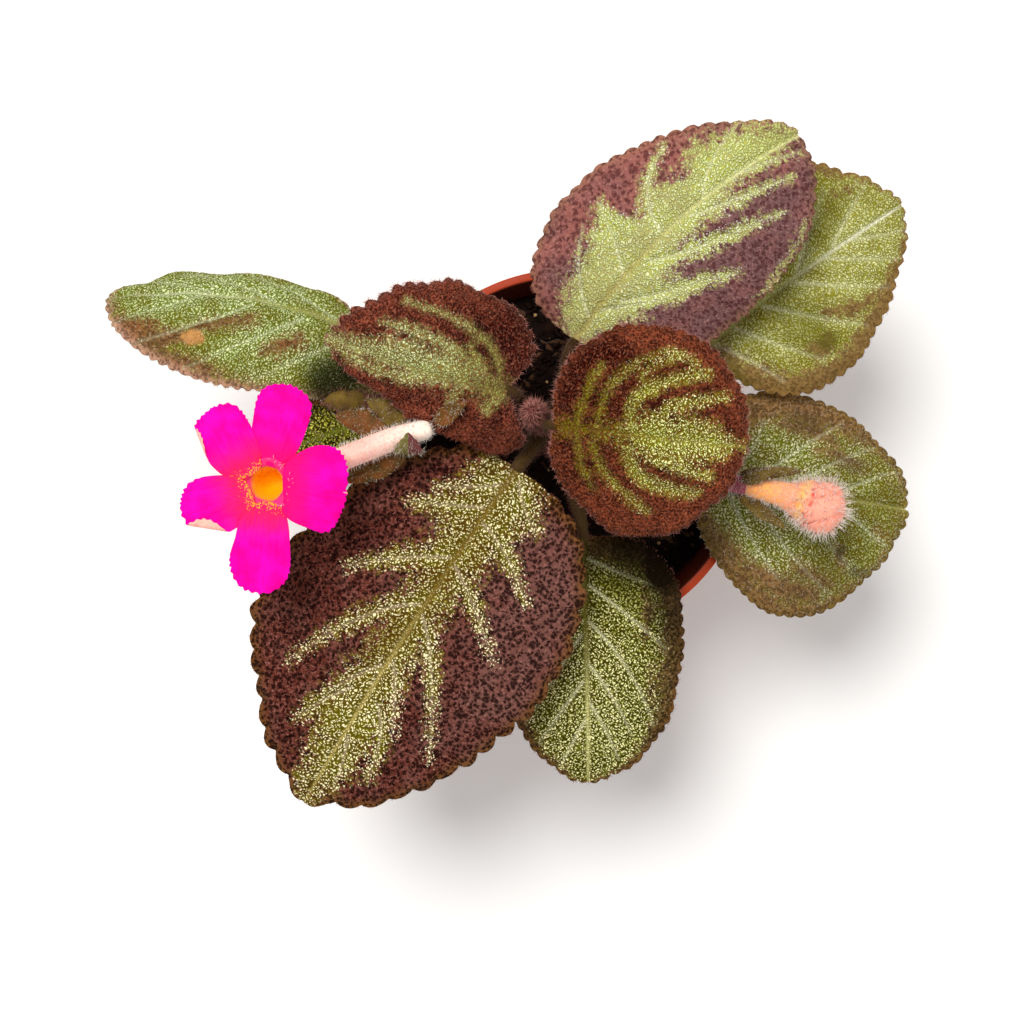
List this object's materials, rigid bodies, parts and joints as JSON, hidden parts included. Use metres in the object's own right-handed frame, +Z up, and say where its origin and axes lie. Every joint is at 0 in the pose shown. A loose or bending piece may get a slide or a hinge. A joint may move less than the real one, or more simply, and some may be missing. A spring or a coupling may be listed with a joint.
{
  "type": "potted pink panther episcia",
  "caption": "Pink panther episcia in a round nursery pot: a short stem with hairy bronze and green leaves, an open pink flower and buds.",
  "frame": {"origin": "centre of the pot's base, on the surface that the pot stands on", "axes": "+Z up through the pot's rim; +X towards the right leaf and the large bud, +Y towards the back leaf; the open flower is at -X"},
  "size_m": [0.1823, 0.1504, 0.12],
  "materials": {
    "pot": "satin",
    "soil": "matte",
    "stem": "matte",
    "petiole": "matte",
    "bronze_leaf": "matte",
    "green_leaf": "matte",
    "petal": "matte",
    "flower_tube": "matte",
    "bud": "matte",
    "sepal": "matte"
  },
  "bodies": {
    "root": {"pot": "pot", "soil": "soil", "stem": "stem", "crown_tip": "stem", "petiole_back_right": "petiole", "leaf_back_right": "green_leaf", "petiole_front_right": "petiole", "leaf_front_right": "green_leaf", "petiole_small": "petiole", "leaf_small": "green_leaf", "petiole_right": "petiole", "leaf_right": "green_leaf", "petiole_left": "petiole", "leaf_left": "green_leaf", "petiole_back": "petiole", "leaf_back": "bronze_leaf", "petiole_front": "petiole", "leaf_front": "bronze_leaf", "petiole_young_left": "petiole", "leaf_young_left": "bronze_leaf", "petiole_young_right": "petiole", "leaf_young_right": "bronze_leaf", "flower_tube": "flower_tube", "flower_stalk": "petiole", "petal_top_right": "petal", "petal_top_left": "petal", "petal_left": "petal", "petal_bottom": "petal", "petal_right": "petal", "sepal_back": "sepal", "sepal_upper": "sepal", "sepal_inner": "sepal", "sepal_lower": "sepal", "sepal_front": "sepal", "bud_stalk": "stem", "bud_corolla": "bud", "bud_sepal_upper": "sepal", "bud_sepal_back": "sepal", "bud_sepal_lower": "sepal", "bud_sepal_outer": "sepal", "bud_sepal_under": "sepal", "young_bud_stalk": "petiole", "young_bud": "sepal", "bract": "sepal"}
  },
  "joints": []
}
